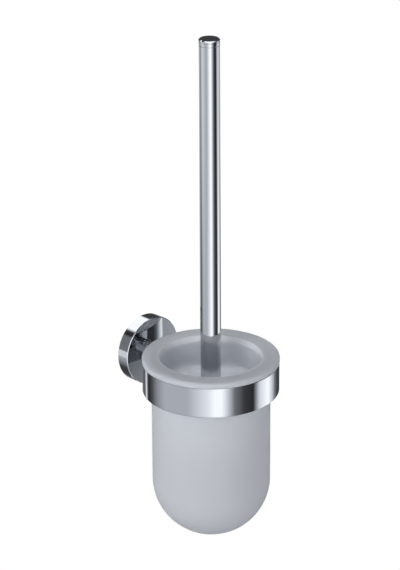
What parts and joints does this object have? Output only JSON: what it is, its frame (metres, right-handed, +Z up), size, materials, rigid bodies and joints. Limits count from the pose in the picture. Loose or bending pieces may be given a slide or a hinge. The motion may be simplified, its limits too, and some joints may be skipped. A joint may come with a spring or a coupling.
{
  "type": "toilet brush holder",
  "caption": "Wall-mounted chrome ring on a round rosette, holding a satin glass tumbler with a round bottom and a lift-out brush on a chrome tube handle.",
  "frame": {"origin": "on the wall, at the middle of the wall plate's back face", "axes": "+Y into the wall, +Z up along the brush handle, so the holder stands out along -Y"},
  "size_m": [0.1006, 0.122, 0.3825],
  "materials": {
    "chrome_plate": "bright chrome plating",
    "satin_glass": "satin-etched glass",
    "cast_zinc": "die-cast zinc, as cast",
    "steel_hardware": "zinc-plated steel",
    "brass_insert": "turned brass",
    "liner_plastic": "natural polyethylene",
    "white_plastic": "moulded polypropylene",
    "bristle_plastic": "white polypropylene strand",
    "seal_rubber": "black rubber"
  },
  "bodies": {
    "holder": {"wall_plate": "cast_zinc", "rosette": "chrome_plate", "grub_screw": "steel_hardware", "support_post": "chrome_plate", "clamp_bolt": "steel_hardware", "lock_washer": "steel_hardware", "clamp_nut": "steel_hardware", "locating_pin": "steel_hardware", "glass_ring": "chrome_plate", "ring_liner": "liner_plastic"},
    "glass": {"glass_tumbler": "satin_glass"},
    "brush_head": {"brush_core": "white_plastic", "bristles_side": "bristle_plastic", "bristles_tip": "bristle_plastic", "thread_stud": "steel_hardware"},
    "seal": {"sealing_washer": "seal_rubber"},
    "handle": {"thread_insert": "brass_insert", "handle_plug": "white_plastic", "handle_tube": "chrome_plate", "handle_cap": "chrome_plate"}
  },
  "joints": [
    {"name": "glass_lift", "type": "slide", "parent": "holder", "child": "glass", "axis": [0, 0, 1], "range_m": [0, 0.15]},
    {"name": "brush_lift", "type": "slide", "parent": "glass", "child": "brush_head", "axis": [0, 0, 1], "range_m": [0, 0.15]},
    {"name": "handle_rise", "type": "slide", "parent": "brush_head", "child": "seal", "axis": [0, 0, 1], "range_m": [0, 0.01]},
    {"name": "handle_unscrew", "type": "hinge", "parent": "seal", "child": "handle", "pos_m": [0, -0.0717, 0], "axis": [0, 0, 1], "range_deg": [0, 2880]}
  ],
  "couplings": [
    {"joint": "handle_rise", "follows": "handle_unscrew", "m_per_rad": 0.00019894}
  ]
}
